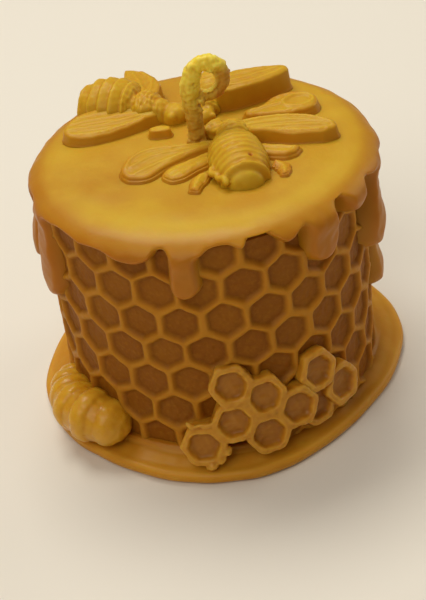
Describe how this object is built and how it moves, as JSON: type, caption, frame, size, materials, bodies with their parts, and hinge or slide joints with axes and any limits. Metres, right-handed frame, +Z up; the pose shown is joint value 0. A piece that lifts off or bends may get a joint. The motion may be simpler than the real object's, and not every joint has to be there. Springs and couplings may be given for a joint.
{
  "type": "moulded pillar candle",
  "caption": "Short pillar candle with a honeycomb wall, dripping wax cap, relief bees around a looped wick, broken comb and a ribbed hive on a spread foot.",
  "frame": {"origin": "centre of the foot's flat underside, on the axis of the drum", "axes": "+Z up the candle along the wick; -Y is the front, the side the front bee's tail and the loose comb face; +X to the right seen from the front"},
  "size_m": [0.0689, 0.0688, 0.0649],
  "materials": {
    "golden_wax": "satin golden beeswax, slightly translucent",
    "drum_wax": "satin amber-brown beeswax, slightly translucent",
    "comb_wax": "satin honey-coloured beeswax, slightly translucent",
    "waxed_cotton": "braided cotton soaked in wax"
  },
  "bodies": {
    "root": {"foot": "drum_wax", "honeycomb_drum": "drum_wax", "drip_cap": "golden_wax", "front_bee_body": "golden_wax", "front_bee_left_forewing": "golden_wax", "front_bee_left_hindwing": "golden_wax", "front_bee_right_forewing": "golden_wax", "front_bee_right_hindwing": "golden_wax", "front_bee_left_leg": "golden_wax", "front_bee_right_leg": "golden_wax", "left_bee_body": "golden_wax", "left_bee_near_wing": "golden_wax", "left_bee_far_wing": "golden_wax", "left_bee_leg": "golden_wax", "rear_bee_body": "golden_wax", "rear_bee_forewing": "golden_wax", "rear_bee_hindwing": "golden_wax", "front_comb": "comb_wax", "side_comb": "comb_wax", "ribbed_hive": "golden_wax", "wick": "waxed_cotton"}
  },
  "joints": []
}
